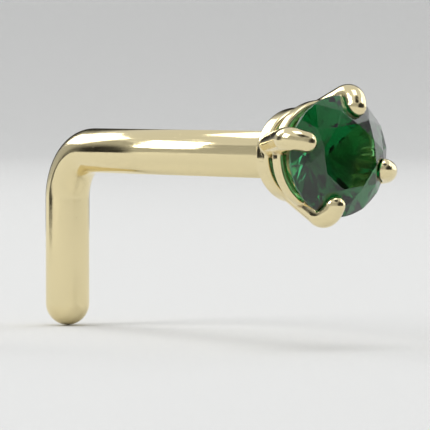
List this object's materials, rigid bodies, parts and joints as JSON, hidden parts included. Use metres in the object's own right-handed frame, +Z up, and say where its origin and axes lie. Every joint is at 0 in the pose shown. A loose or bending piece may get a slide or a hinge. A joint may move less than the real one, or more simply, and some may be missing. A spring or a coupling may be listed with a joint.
{
  "type": "nose stud",
  "caption": "Nose stud: a small round faceted green stone in a claw basket setting of pale yellow gold, on a post whose leg is bent down inside the nostril.",
  "frame": {"origin": "on the post's axis, in the plane of the flat back of the head, where the post enters the nostril", "axes": "+Y along the post, into the nostril; -Y is the way the stone faces; +Z is up, so the post's leg hangs along -Z; +X is to the right, seen from the front"},
  "size_m": [0.0024, 0.0088, 0.0044],
  "materials": {
    "yellow_gold": "polished pale yellow gold of 14 carat",
    "green_stone": "polished facets, deep green and clear"
  },
  "bodies": {
    "root": {"claw_setting": "yellow_gold", "stone": "green_stone"}
  },
  "joints": []
}
